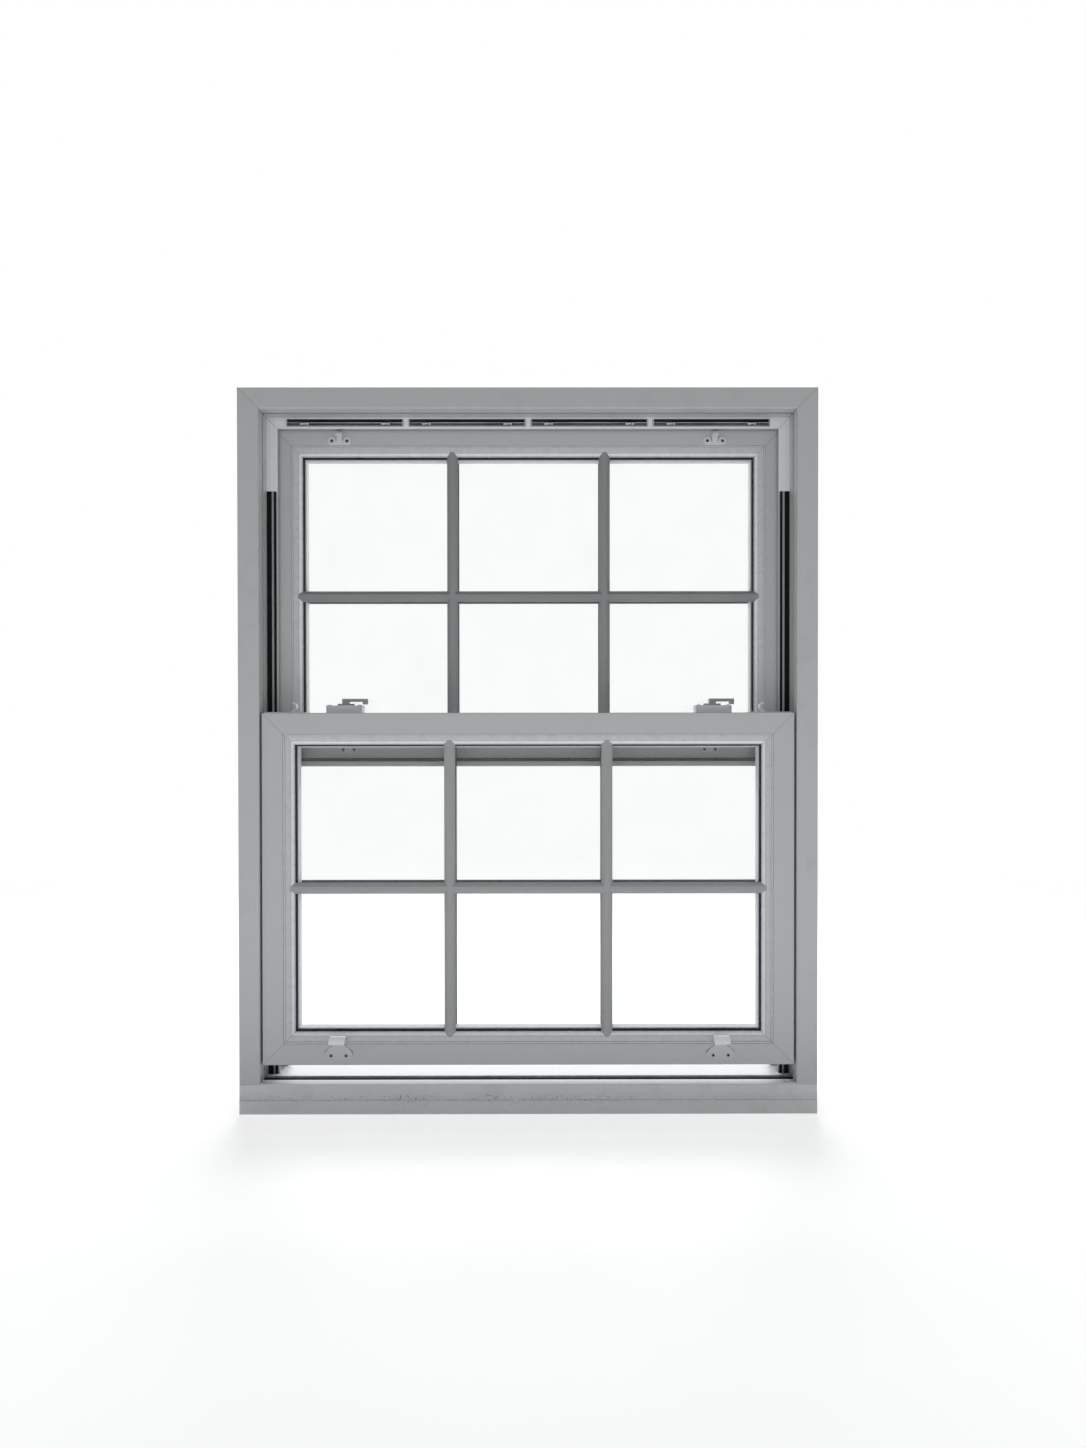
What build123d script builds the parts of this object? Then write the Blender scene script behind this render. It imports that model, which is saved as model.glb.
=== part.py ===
"""A white plastic vertical sliding sash window with its frame: two double-glazed sashes in two tracks.

X runs along the window, to the right seen from the room. Y runs outwards, and Z is up. The origin is
the middle of the frame's underside. Depths are measured from the frame's room face, or from a sash's
own room face, and grow outwards. Heights in a section are measured in from its outer edge.
"""

import os
from math import cos, radians, sin

from build123d import *

# Frame
frame_width = 925.0
frame_height = 1160.0
frame_depth = 135.0
frame_floor = 33.0
frame_wall = 2.8
front_edge = 1.5
rib_depth = 54.0
rib_thickness = 4.0
rib_height = 17.5
upper_back_gap = 2.0
flange_slope = 6.0
pocket_width = 28.0
slot_width = 6.0

# Sill
sill_height = 48.0
sill_flat = 43.0
sill_outer_height = 36.0
sill_groove = 8.0
sill_channel = (20.5, 39.0)
sill_channel_depth = 3.0
seal_clearance = 0.3

# Sashes
sash_side_gap = 3.0
sash_thickness = 46.0
sash_wall = 2.6
sash_flat = 34.0
sash_sight = 51.0
sash_edge = 1.0
back_chamfer = 4.0
front_chamber = 4.8
main_chamber = 20.0
leg_taper = 5.0
leg_flat = 8.0
lower_face = 4.0
upper_face = 64.0
closed_gap = 0.5
lower_raise = 29.0
upper_head_gap = 8.3
meeting_overlap = 59.8

# Glazing
bead_depth = 10.4
bead_setback = 0.8
bead_quirk = 2.6
bead_lip = 2.4
gasket_thickness = 0.8
gasket_height = 7.0
pane_thickness = 4.0
pane_gap = 16.0
pane_edge = 40.0
spacer_height = 14.0
spacer_reveal = 5.0

# Astragal bars
bar_width = 18.0
bar_crest = 6.0
bar_foot = 2.0
inner_bar_height = 8.0
outer_bar_height = 6.0
bar_end = 40.0

# Piles and trims on the parting rib
wide_pile = 7.4
narrow_pile = 3.6
pile_between = 4.0
pile_proud = 3.6
narrow_pile_proud = 3.0
trim_length = 100.0
trim_thickness = 3.4
trim_step = 1.0

# Vents
vent_count = 4
vent_height = 12.0
vent_bridge = 6.6
vent_side_gap = 31.6
vent_offset = 2.2
vent_clearance = 0.3
vent_wall = 1.1
vent_depth = 9.0
vent_proud = 0.6
vent_blades = 2
vent_blade_tilt = 35.0

# Spiral balances, whose tubes are drawn with twelve sides, and pivot shoes
tube_sides = 12
tube_diameter = 17.0
tube_wall = 1.4
tube_below_head = 23.0
tube_plug = 22.0
lower_lift = 384.0
tube_stop_gap = 5.4
rod_width = 9.0
rod_thickness = 2.4
rod_engaged = 53.0
rod_plug_gap = 22.0
shoe_height = 40.0
shoe_below_pin = 5.5
shoe_clearance = 0.3
pin_diameter = 5.2
pin_clearance = 0.05
pivot_bar_height = 6.0
pivot_bar_width = 14.0
pivot_bar_length = 54.6
pivot_bar_clearance = 0.2

# Tilt latches
latch_length = 70.0
latch_width = 18.0
latch_height = 12.0
latch_wall = 1.7
latch_clearance = 0.3
latch_plate = 1.4
latch_plate_width = 22.0
bolt_travel = 8.0
bolt_length = 46.0
bolt_nose = 5.4
bolt_inset = 0.5
bolt_slope = 2.0
tab_from_edge = 46.5
tab_radius = 7.0
tab_thickness = 2.0
tab_width = 10.0
tab_rise = 10.0
tab_first_angle = 80.0
tab_last_angle = 270.0

# Cam locks, placed from the sash's sides
lock_from_side = {"left": 128.5, "right": 126.0}
lock_length = 58.0
lock_front = 13.0
lock_back = 45.5
lock_height = 12.0
lock_floor = 2.2
lock_pivot_depth = 37.0
lock_corner = 8.0
lock_running_gap = 0.3
cam_outer = 21.0
cam_inner = 16.0
cam_thickness = 4.4
cam_pocket_gap = 1.0
cam_first_angle = 230.0
cam_last_angle = 310.0
cam_arm_angle = 10.0
cam_arm = 6.0
lock_shaft = 10.0
lock_disc = 28.0
lock_disc_height = 2.6
lever_length = 36.0
lever_width = 13.0
lever_thickness = 5.0
lever_top = 23.0
lever_knob = 8.0
lever_hub = 10.6
lock_screw_spread = 48.0
lock_screw_depth = 24.0

# Keepers on the upper sash
keeper_width = 30.0
keeper_foot = 12.0
keeper_thickness = 2.0
keeper_lug_width = 9.0
keeper_lug_height = 8.5
keeper_reach = 11.0
keeper_lug_thickness = 3.0
keeper_above_closed_rail = -1.5
keeper_screw_spread = 18.0
keeper_screw_height = 6.0

# Hook lifts on the lower sash, and finger pulls on the upper one, placed from the sashes' sides
lift_from_side = {"left": 122.5, "right": 118.5}
lift_width = 45.0
lift_base = 29.0
lift_shoulder = 9.5
lift_plate = 22.0
lift_from_edge = 8.8
lift_neck = 19.0
lift_lip = 25.0
lift_thickness = 2.6
lift_curl = 10.5
lift_curl_height = 39.5
lift_hole_spread = 24.0
lift_hole_height = 7.4
pull_from_side = {"left": 114.5, "right": 118.0}
pull_ring = 13.0
pull_ring_spread = 25.0
pull_bridge = 6.0
pull_from_edge = 33.6
pull_neck = 9.0
pull_thickness = 2.4
pull_curl = 7.0
pull_curl_rise = 14.0

# Screws
screw_head = 6.6
screw_head_height = 1.2
screw_head_sides = 8
screw_shank = 3.4
screw_shank_sides = 6
screw_hold = 7.0
screw_clearance = 0.1

# Meeting rail pile
meeting_pile_height = 5.0
meeting_pile_from_edge = 9.0
meeting_pile_gap = 0.6

# Wall fixings through the jambs
fixing_hole = 6.5
fixing_access = 9.0
fixing_depth = 64.2
fixing_spacing = 600.0

# Sizes that follow from the ones above
half_opening = frame_width / 2 - frame_floor
ceiling = frame_height - frame_floor
rib_edge = frame_floor + rib_height
sash_width = 2 * (half_opening - sash_side_gap)
sash_height = (ceiling - upper_head_gap - sill_height - closed_gap + meeting_overlap) / 2
lower_bottom = sill_height + closed_gap + lower_raise
upper_bottom = ceiling - upper_head_gap - sash_height
sash_middle = sash_thickness / 2
track_middles = [lower_face + sash_middle, upper_face + sash_middle]
glass_front = bead_setback + bead_depth + gasket_thickness
glass_thickness = 2 * pane_thickness + pane_gap
glass_back = glass_front + glass_thickness
pivot_height = sash_wall + pivot_bar_height / 2
pocket_middle = frame_floor / 2
shoe_top = pivot_height - shoe_below_pin + shoe_height
tube_top = ceiling - tube_below_head
vent_length = (2 * (half_opening - vent_side_gap) + vent_bridge) / vent_count - vent_bridge
parts = {}


def outline(*points):
    """A face with straight sides through the points, closed."""
    return make_face(Polyline(*points, close=True).edges())


def block(x, y, z):
    """A box between three pairs of limits."""
    size = [high - low for low, high in (x, y, z)]
    middle = [(high + low) / 2 for low, high in (x, y, z)]
    return Pos(*middle) * Box(*size)


def rectangle(x, y):
    """A rectangular face between two pairs of limits."""
    return Pos((x[0] + x[1]) / 2, (y[0] + y[1]) / 2) * Rectangle(x[1] - x[0], y[1] - y[0])


def along_x(section, length):
    """A section of depth and height, drawn out to both sides of X = 0."""
    return extrude(Plane.YZ * section, amount=length / 2, both=True)


def along_z(section, low, high):
    """A section of X and depth, drawn up between two heights."""
    return extrude(Plane.XY.offset(low) * section, amount=high - low)


def across(section, low, high):
    """A section of X and height, drawn outwards between two depths."""
    return extrude(Plane.XZ.offset(-low) * section, amount=-(high - low))


def mitred(section, length, height, low_end=True, high_end=True):
    """A length of section with its ends cut at 45 degrees, longest at its outer edge."""
    half = length / 2
    low = -half + height if low_end else -half
    high = half - height if high_end else half
    keep = outline((-half, 0), (half, 0), (high, height), (low, height))
    return along_x(section, length) & across(keep, -1, frame_depth + 1)


def on_side(piece, side, width, low, high):
    """Turns a length that lies along X, with its outer edge down, to one side of a rectangle."""
    middle = (low + high) / 2
    places = {
        "bottom": Pos(0, 0, low),
        "top": Pos(0, 0, high) * Rot(0, 180, 0),
        "left": Pos(-width / 2, 0, middle) * Rot(0, 90, 0),
        "right": Pos(width / 2, 0, middle) * Rot(0, -90, 0),
    }
    return places[side] * piece


def hooked_plate(front, curl, curl_height, thickness, low):
    """A plate on the plane of depth 0 whose tongue curls towards the room, cut to a front outline."""
    middle = (-curl, curl_height)
    inner = curl - thickness
    side = Sketch() + make_face(
        [
            Line((0, low), (0, curl_height)),
            CenterArc(middle, curl, 0, 180),
            Line((-2 * curl, curl_height), (-2 * curl + thickness, curl_height)),
            CenterArc(middle, inner, 0, 180),
            Line((-thickness, curl_height), (-thickness, low)),
            Line((-thickness, low), (0, low)),
        ]
    )
    return along_x(side, 4 * lift_width) & across(front, -2 * curl - 1, 1)


def frame_section():
    """The jambs' and head's section: two tracks with a parting rib, on hollow chambers."""
    flange = upper_face + sash_thickness + upper_back_gap
    body = outline(
        (0, 0),
        (frame_depth, 0),
        (frame_depth, rib_edge - flange_slope),
        (frame_depth - flange_slope, rib_edge),
        (flange, rib_edge),
        (flange, frame_floor),
        (rib_depth + rib_thickness, frame_floor),
        (rib_depth + rib_thickness, rib_edge),
        (rib_depth, rib_edge),
        (rib_depth, frame_floor),
        (front_edge, frame_floor),
        (0, frame_floor - front_edge),
    )
    inner = (frame_wall, frame_floor - frame_wall)
    reach = pocket_width / 2
    pockets = [(middle - reach, middle + reach) for middle in track_middles]
    chambers = [
        (frame_wall, pockets[0][0] - frame_wall),
        pockets[0],
        (pockets[0][1] + frame_wall, pockets[1][0] - frame_wall),
        pockets[1],
    ]
    for chamber in chambers:
        body -= rectangle(chamber, inner)
    for middle in track_middles:
        slot = (middle - slot_width / 2, middle + slot_width / 2)
        body -= rectangle(slot, (inner[1] - 1, frame_floor + 1))
    last = pockets[1][1] + frame_wall
    body -= outline(
        (last, frame_wall),
        (frame_depth - frame_wall, frame_wall),
        (frame_depth - frame_wall, rib_edge - flange_slope - frame_wall / 2),
        (frame_depth - flange_slope - frame_wall / 2, rib_edge - frame_wall),
        (flange + frame_wall, rib_edge - frame_wall),
        (flange + frame_wall, inner[1]),
        (last, inner[1]),
    )
    return body


def sill_outline():
    """The sill's outside: level behind its nosing, then falling outwards."""
    return outline(
        (0, 0),
        (frame_depth, 0),
        (frame_depth, sill_outer_height),
        (sill_flat, sill_height),
        (front_edge, sill_height),
        (0, sill_height - front_edge),
    )


def sill_room():
    """All the space that a piece standing on the sill has to leave to it."""
    top = sill_height - front_edge
    margin = 1
    return outline(
        (-margin, -margin),
        (frame_depth + margin, -margin),
        (frame_depth + margin, sill_surface(frame_depth + margin)),
        (sill_flat, sill_height),
        (front_edge, sill_height),
        (-margin, top - margin),
    )


def sill_surface(depth):
    """The height of the sill's top at a depth on its slope."""
    fall = (sill_height - sill_outer_height) / (frame_depth - sill_flat)
    return sill_height - fall * (depth - sill_flat)


def sill_section():
    """The sill's section, with its seal groove in line with the inner track's slot."""
    groove = (track_middles[0] - slot_width / 2, track_middles[0] + slot_width / 2)
    body = sill_outline() - rectangle(groove, (sill_height - sill_groove, sill_height + 1))
    body -= rectangle(sill_channel, (sill_height - sill_channel_depth, sill_height + 1))
    top = sill_height - sill_channel_depth - frame_wall
    first = (frame_wall, groove[0] - frame_wall)
    body -= rectangle(first, (frame_wall, top))
    body -= rectangle(groove, (frame_wall, sill_height - sill_groove - frame_wall))
    split = (sill_flat + frame_depth) / 2
    third = (groove[1] + frame_wall, split - frame_wall / 2)
    fourth = (split + frame_wall / 2, frame_depth - frame_wall)
    body -= outline(
        (third[0], frame_wall),
        (third[1], frame_wall),
        (third[1], sill_surface(third[1]) - frame_wall),
        (sill_flat, top),
        (third[0], top),
    )
    body -= outline(
        (fourth[0], frame_wall),
        (fourth[1], frame_wall),
        (fourth[1], sill_surface(fourth[1]) - frame_wall),
        (fourth[0], sill_surface(fourth[0]) - frame_wall),
    )
    return body


def fixing_holes(side):
    """One jamb's fixing holes, with a square way in through the track's floor."""
    low = (Align.CENTER, Align.CENTER, Align.MIN)
    reach = frame_floor - 2 * frame_wall
    window = (fixing_access, fixing_access, frame_floor)
    holes = Part()
    for end in (-1, 1):
        height = frame_height / 2 + end * fixing_spacing / 2
        turn = Pos(side * frame_width / 2, fixing_depth, height) * Rot(0, -90 * side, 0)
        holes += turn * Pos(0, 0, -1) * Cylinder(fixing_hole / 2, 2 * frame_wall, align=low)
        holes += turn * Pos(0, 0, reach) * Box(*window, align=low)
    return holes


def vent_places():
    """The middles of the vents along the head."""
    pitch = vent_length + vent_bridge
    first = -pitch * (vent_count - 1) / 2
    return [first + pitch * n for n in range(vent_count)]


def vent_slots(grown=0.0):
    """The slots that take the vents, through the head's trim and parting rib."""
    top = ceiling - vent_offset
    slots = Part()
    for place in vent_places():
        half = vent_length / 2 - grown
        span = (rib_depth - trim_thickness - 1, rib_depth + rib_thickness + 1)
        slots += block((place - half, place + half), span, (top - vent_height + grown, top - grown))
    return slots


def build_frame():
    """Head, jambs and sill."""
    section = frame_section()
    head = mitred(section, frame_width, rib_edge + 1)
    head = on_side(head, "top", frame_width, 0, frame_height) - vent_slots()
    sill = along_x(sill_section(), frame_width)
    footprint = along_x(sill_room(), frame_width + 2)
    parts["head"] = head
    parts["sill"] = sill
    for side, sign in (("left", -1), ("right", 1)):
        ends = {"low_end": sign < 0, "high_end": sign > 0}
        jamb = mitred(section, frame_height, rib_edge + 1, **ends)
        jamb = on_side(jamb, side, frame_width, 0, frame_height)
        parts[f"jamb_{side}"] = jamb - footprint - fixing_holes(sign)


def trim_section():
    """The trim that covers the rib's two pile strips, stepped between them."""
    back = rib_depth
    step = frame_floor + wide_pile
    return outline(
        (back, frame_floor),
        (back, rib_edge),
        (back - trim_thickness + trim_step, rib_edge),
        (back - trim_thickness + trim_step, step),
        (back - trim_thickness, step),
        (back - trim_thickness, frame_floor),
    )


def build_trims_and_piles():
    """Trims on the rib at the head and the tops of the jambs, and the piles below them."""
    section = trim_section()
    top = mitred(section, frame_width, rib_edge + 1)
    parts["vent_trim"] = on_side(top, "top", frame_width, 0, frame_height) - vent_slots()
    cut = block((-frame_width, frame_width), (0, frame_depth), (0, ceiling - trim_length))
    for side, sign in (("left", -1), ("right", 1)):
        piece = mitred(section, frame_height, rib_edge + 1, sign < 0, sign > 0)
        parts[f"jamb_trim_{side}"] = on_side(piece, side, frame_width, 0, frame_height) - cut
    footprint = along_x(sill_room(), frame_width + 2)
    spans = [
        (frame_floor, wide_pile, pile_proud),
        (frame_floor + wide_pile + pile_between, narrow_pile, narrow_pile_proud),
    ]
    piles = Part()
    for sign in (-1, 1):
        for start, width, proud in spans:
            limits = sorted((sign * (frame_width / 2 - start), sign * (frame_width / 2 - start - width)))
            strip = block(limits, (rib_depth - proud, rib_depth), (0, ceiling - trim_length))
            piles += strip - footprint
    parts["parting_piles"] = piles
    groove = track_middles[0]
    seal = block(
        (-half_opening, half_opening),
        (groove - slot_width / 2, groove + slot_width / 2),
        (sill_height - sill_groove, sill_height + closed_gap - seal_clearance),
    )
    parts["sill_seal"] = seal


def build_vents():
    """Four moulded louvres, each a shallow box with slanted blades."""
    top = ceiling - vent_offset
    height = vent_height - 2 * vent_clearance
    half = vent_length / 2 - vent_clearance
    middle = top - vent_height / 2
    front = rib_depth - trim_thickness - vent_proud
    span = (front, front + vent_depth)
    for number, place in enumerate(vent_places(), start=1):
        box = block((-half, half), span, (-height / 2, height / 2))
        inside = (half - 2 * vent_wall, height / 2 - vent_wall)
        hollow = (front - 1, front + vent_depth + 1)
        box -= block((-inside[0], inside[0]), hollow, (-inside[1], inside[1]))
        for blade in range(vent_blades):
            rise = (blade + 1) * height / (vent_blades + 1) - height / 2
            plate = Box(2 * half - vent_wall, vent_depth - 2, vent_wall)
            box += Pos(0, front + vent_depth / 2, rise) * Rot(vent_blade_tilt, 0, 0) * plate
        parts[f"vent_{number}"] = Pos(place, 0, middle) * box


def sash_section():
    """A sash's section: flat face, three chambers and an outer leg behind the glass."""
    back = sash_thickness
    rebate = glass_back + gasket_thickness
    body = outline(
        (sash_edge, 0),
        (back - back_chamfer, 0),
        (back, back_chamfer),
        (back, sash_flat + leg_flat),
        (back - leg_taper, sash_sight),
        (rebate, sash_sight),
        (rebate, sash_flat),
        (bead_setback, sash_flat),
        (0, sash_flat - bead_setback),
        (0, sash_edge),
    )
    inner = (sash_wall, sash_flat - sash_wall)
    first = (sash_wall, sash_wall + front_chamber)
    main = (first[1] + sash_wall, first[1] + sash_wall + main_chamber)
    body -= rectangle(first, inner)
    body -= rectangle(main, inner)
    last = main[1] + sash_wall
    body -= outline(
        (last, sash_wall),
        (back - back_chamfer, sash_wall),
        (back - sash_wall, back_chamfer),
        (back - sash_wall, inner[1]),
        (last, inner[1]),
    )
    return body


def bead_section(back):
    """A glazing bead's section: a quirk, an ovolo in flats and a small lip at the glass."""
    front = bead_setback
    lip = sash_sight - bead_lip
    return outline(
        (front, sash_flat),
        (front, sash_flat + bead_quirk),
        (front + 1.8, sash_flat + bead_quirk + 1.0),
        (front + 2.4, lip - 7.0),
        (front + 4.0, lip - 3.2),
        (front + 6.4, lip),
        (front + 7.6, lip),
        (front + 7.6, sash_sight),
        (back, sash_sight),
        (back, sash_flat),
    )


def bar_section(base, height):
    """An astragal bar's section of X and depth: a foot on the glass, sloped sides and a flat crest."""
    sign = 1 if height > 0 else -1
    rise = abs(height)
    half = bar_width / 2
    crest = bar_crest / 2
    side = [
        (half, 0),
        (half, bar_foot),
        (half - 1.8, bar_foot + (rise - bar_foot) * 0.4),
        (crest + 1.6, rise - 1.2),
        (crest, rise),
    ]
    right = [(x, base - sign * up) for x, up in side]
    left = [(-x, depth) for x, depth in reversed(right)]
    return outline(*right, *left)


def bar_grid(base, height, end, bead_room):
    """Two upright bars, and three across between them, coped to the uprights and the beads."""
    daylight = sash_width - 2 * (sash_sight + spacer_reveal)
    place = (daylight - 2 * bar_width) / 6 + bar_width / 2
    section = bar_section(base, height)
    upright = along_z(section, end, sash_height - end)
    uprights = Pos(-place, 0, 0) * upright + Pos(place, 0, 0) * upright
    level = along_z(section, -sash_width / 2 + end, sash_width / 2 - end)
    level = Pos(0, 0, sash_height / 2) * Rot(0, 90, 0) * level
    return (uprights - bead_room) + (level - uprights - bead_room)


def ring_of(section):
    """Four mitred lengths of a section round a sash, as separate solids."""
    sides = {"bottom": sash_width, "top": sash_width, "left": sash_height, "right": sash_height}
    lengths = {}
    for side, length in sides.items():
        piece = mitred(section, length, sash_sight + 1)
        lengths[side] = on_side(piece, side, sash_width, 0, sash_height)
    return lengths


def group(pieces):
    """Several solids as one group that keeps them separate."""
    solids = [solid for piece in pieces for solid in piece.solids()]
    return Compound(children=solids)


def sash_parts():
    """What both sashes share, with the sash's room face at depth 0 and its bottom at height 0."""
    made = {}
    rails = ring_of(sash_section())
    names = {"bottom": "bottom_rail", "top": "top_rail", "left": "stile_left", "right": "stile_right"}
    for side, name in names.items():
        made[name] = rails[side]
    bead_back = bead_setback + bead_depth
    made["beads"] = group(ring_of(bead_section(bead_back)).values())
    heights = (sash_sight - gasket_height, sash_sight)
    inner = rectangle((bead_back, glass_front), heights)
    outer = rectangle((glass_back, glass_back + gasket_thickness), heights)
    made["gaskets"] = group([*ring_of(inner).values(), *ring_of(outer).values()])
    half = sash_width / 2 - pane_edge
    tall = (pane_edge, sash_height - pane_edge)
    made["pane_inner"] = block((-half, half), (glass_front, glass_front + pane_thickness), tall)
    made["pane_outer"] = block((-half, half), (glass_back - pane_thickness, glass_back), tall)
    made["spacer"] = spacer()
    room = group(ring_of(bead_section(glass_front)).values())
    made["bars_inner"] = bar_grid(glass_front, inner_bar_height, bar_end, room)
    made["bars_outer"] = bar_grid(glass_back, -outer_bar_height, sash_sight, Part())
    return made


def spacer():
    """The black spacer between the panes."""
    inner = sash_sight + spacer_reveal
    outer = inner - spacer_height
    span = (glass_front + pane_thickness, glass_back - pane_thickness)
    ring = block(
        (outer - sash_width / 2, sash_width / 2 - outer), span, (outer, sash_height - outer)
    )
    return ring - block(
        (inner - sash_width / 2, sash_width / 2 - inner), span, (inner, sash_height - inner)
    )


def pivot_bar():
    """The right pivot bar: a flat steel bar in the bottom rail with a round pin that reaches the shoe."""
    edge = sash_width / 2
    bar = block(
        (edge - pivot_bar_length, edge),
        (sash_middle - pivot_bar_width / 2, sash_middle + pivot_bar_width / 2),
        (sash_wall, sash_wall + pivot_bar_height),
    )
    reach = frame_width / 2 - pocket_middle - edge
    pin = Cylinder(pin_diameter / 2, reach, align=(Align.CENTER, Align.CENTER, Align.MIN))
    return bar + Pos(edge, sash_middle, pivot_height) * Rot(0, 90, 0) * pin


def pivot_slot():
    """The slot for the pivot bar in the right stile's outer wall."""
    half = pivot_bar_width / 2 + pivot_bar_clearance
    return block(
        (sash_width / 2 - 2 * sash_wall, sash_width / 2 + 1),
        (sash_middle - half, sash_middle + half),
        (sash_wall, sash_wall + pivot_bar_height + pivot_bar_clearance),
    )


def shoe():
    """The right pivot shoe, a block in the jamb's pocket with a square socket for the pin."""
    outer = frame_width / 2 - frame_wall - shoe_clearance
    inner = half_opening + frame_wall + shoe_clearance
    half = pocket_width / 2 - shoe_clearance
    low = pivot_height - shoe_below_pin
    body = block((inner, outer), (sash_middle - half, sash_middle + half), (low, low + shoe_height))
    body = chamfer(body.edges().filter_by(Axis.Z), 2)
    tip = frame_width / 2 - pocket_middle + shoe_clearance
    side = pin_diameter + 2 * pin_clearance
    return body - Pos(inner, sash_middle, pivot_height) * Box(2 * (tip - inner), side, side)


def rod(low, high):
    """The right balance rod's strip, from the shoe's top up into the tube."""
    strip = along_z(Rectangle(rod_width, rod_thickness), low, high)
    return Pos(frame_width / 2 - pocket_middle, sash_middle, 0) * strip


def tube(low, depth):
    """The right balance tube, open at the bottom, with a square plug at its top."""
    outer = RegularPolygon(tube_diameter / 2, tube_sides)
    bore = RegularPolygon(tube_diameter / 2 - tube_wall, tube_sides)
    body = along_z(outer - bore, low, tube_top - tube_plug)
    body = Pos(frame_width / 2 - pocket_middle, depth, 0) * body
    half = pocket_width / 2 - shoe_clearance
    return body + block(
        (half_opening + frame_wall + shoe_clearance, frame_width / 2 - frame_wall),
        (depth - half, depth + half),
        (tube_top - tube_plug, tube_top),
    )


def latch_pocket(grown=0.0):
    """The space that the right latch's case takes in the lower sash's top."""
    edge = sash_width / 2
    return block(
        (edge - latch_length, edge + grown),
        (sash_middle - latch_width / 2, sash_middle + latch_width / 2),
        (sash_height - latch_height, sash_height + grown),
    )


def latch_case():
    """The right latch's case, hollow for the bolt, with a slot on top for the tab."""
    edge = sash_width / 2
    cavity_end = edge - latch_wall - bolt_inset
    start = cavity_end - bolt_length - bolt_travel - 2 * latch_clearance
    half = latch_width / 2 - latch_wall - 1
    heights = (sash_height - latch_height + latch_wall, sash_height - latch_wall)
    case = latch_pocket()
    case += block(
        (edge - latch_length, edge - latch_plate),
        (sash_middle - latch_plate_width / 2, sash_middle + latch_plate_width / 2),
        (sash_height, sash_height + latch_plate),
    )
    case -= block((start, cavity_end), (sash_middle - half, sash_middle + half), heights)
    nose = bolt_nose / 2 + latch_clearance
    case -= block((cavity_end - 1, edge + 1), (sash_middle - nose, sash_middle + nose), heights)
    tab = edge - tab_from_edge
    span = (tab - latch_clearance, tab + tab_thickness + bolt_travel + latch_clearance)
    wide = tab_width / 2 + latch_clearance
    depth = (sash_middle - wide, sash_middle + wide)
    return case - block(span, depth, (sash_height - 2 * latch_wall, sash_height + latch_plate + 1))


def latch_bolt():
    """The right latch's bolt, drawn in: a nose that runs into the jamb's slot and a curled tab."""
    edge = sash_width / 2
    cavity_end = edge - latch_wall - bolt_inset
    end = cavity_end - bolt_travel - latch_clearance
    half = latch_width / 2 - latch_wall - 1 - latch_clearance
    low = sash_height - latch_height + latch_wall + latch_clearance
    heights = (low, sash_height - latch_wall - latch_clearance)
    body = block((end - bolt_length, end), (sash_middle - half, sash_middle + half), heights)
    nose = bolt_nose / 2
    tip = edge - bolt_inset
    bolt = outline(
        (end, heights[0]),
        (tip, heights[0]),
        (tip, heights[1] - bolt_slope),
        (tip - bolt_slope, heights[1]),
        (end, heights[1]),
    )
    body += across(bolt, sash_middle - nose, sash_middle + nose)
    tab = edge - tab_from_edge
    depth = (sash_middle - tab_width / 2, sash_middle + tab_width / 2)
    middle = tab + tab_thickness / 2
    radius = tab_radius - tab_thickness / 2
    body += block((tab, tab + tab_thickness), depth, (heights[1] - 1, sash_height + tab_rise - radius))
    bend = sector(tab_radius - tab_thickness, tab_radius, tab_first_angle, tab_last_angle)
    return body + across(Pos(middle, sash_height + tab_rise) * bend, depth[0], depth[1])


def lock_base():
    """A cam lock's base: a rounded block with a pocket that lets the cam swing out at the back."""
    half = lock_length / 2
    plan = rectangle((-half, half), (lock_front, lock_back))
    plan = fillet(plan.vertices().sort_by(Axis.Y)[:2], lock_corner)
    body = along_z(plan, 0, lock_height)
    pivot = Pos(0, lock_pivot_depth, lock_floor)
    gap = cam_thickness + 2 * lock_running_gap
    low = (Align.CENTER, Align.CENTER, Align.MIN)
    room = 2 * (cam_outer + cam_pocket_gap)
    body -= pivot * Box(room, room, gap, align=low)
    body -= pivot * Cylinder(lock_shaft / 2 + pin_clearance, lock_height, align=low)
    place = Pos(0, lock_screw_depth, lock_height)
    return drilled(body, screw_pair(place, lock_screw_spread, lock_height))


def sector(inner, outer, first, last):
    """A face between two circles and two angles."""
    def point(radius, angle):
        return (radius * cos(radians(angle)), radius * sin(radians(angle)))

    return make_face(
        [
            CenterArc((0, 0), outer, first, last - first),
            Line(point(outer, last), point(inner, last)),
            CenterArc((0, 0), inner, first, last - first),
            Line(point(inner, first), point(outer, first)),
        ]
    )


def lock_lever():
    """The cam, its shaft, the disc above the base and the lever, which turn as one piece."""
    low = lock_floor + lock_running_gap
    disc_low = lock_height + lock_running_gap
    disc_high = disc_low + lock_disc_height
    bar_low = lever_top - lever_thickness
    cam = sector(cam_inner, cam_outer, cam_first_angle, cam_last_angle)
    arm = rectangle((0, cam_inner + 1), (-cam_arm / 2, cam_arm / 2))
    cam += Rot(0, 0, cam_last_angle - cam_arm_angle) * arm
    body = along_z(cam, low, low + cam_thickness)
    body += along_z(Circle(lock_shaft / 2), low, disc_low)
    body += along_z(Circle(lock_disc / 2), disc_low, disc_high)
    half = lever_width / 2
    body += block((-lever_hub / 2, lever_hub / 2), (-half, half), (disc_high, bar_low))
    bar = rectangle((-lever_hub / 2, lever_length - half), (-half, half))
    end = Pos(lever_length - half, 0) * Circle(half)
    body += along_z(bar + end, bar_low, lever_top)
    knob = end & rectangle((lever_length - lever_knob, lever_length), (-lever_width, lever_width))
    body += along_z(knob, lock_height + screw_head_height + 2 * lock_running_gap, lever_top)
    return Pos(0, lock_pivot_depth, 0) * body


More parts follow.
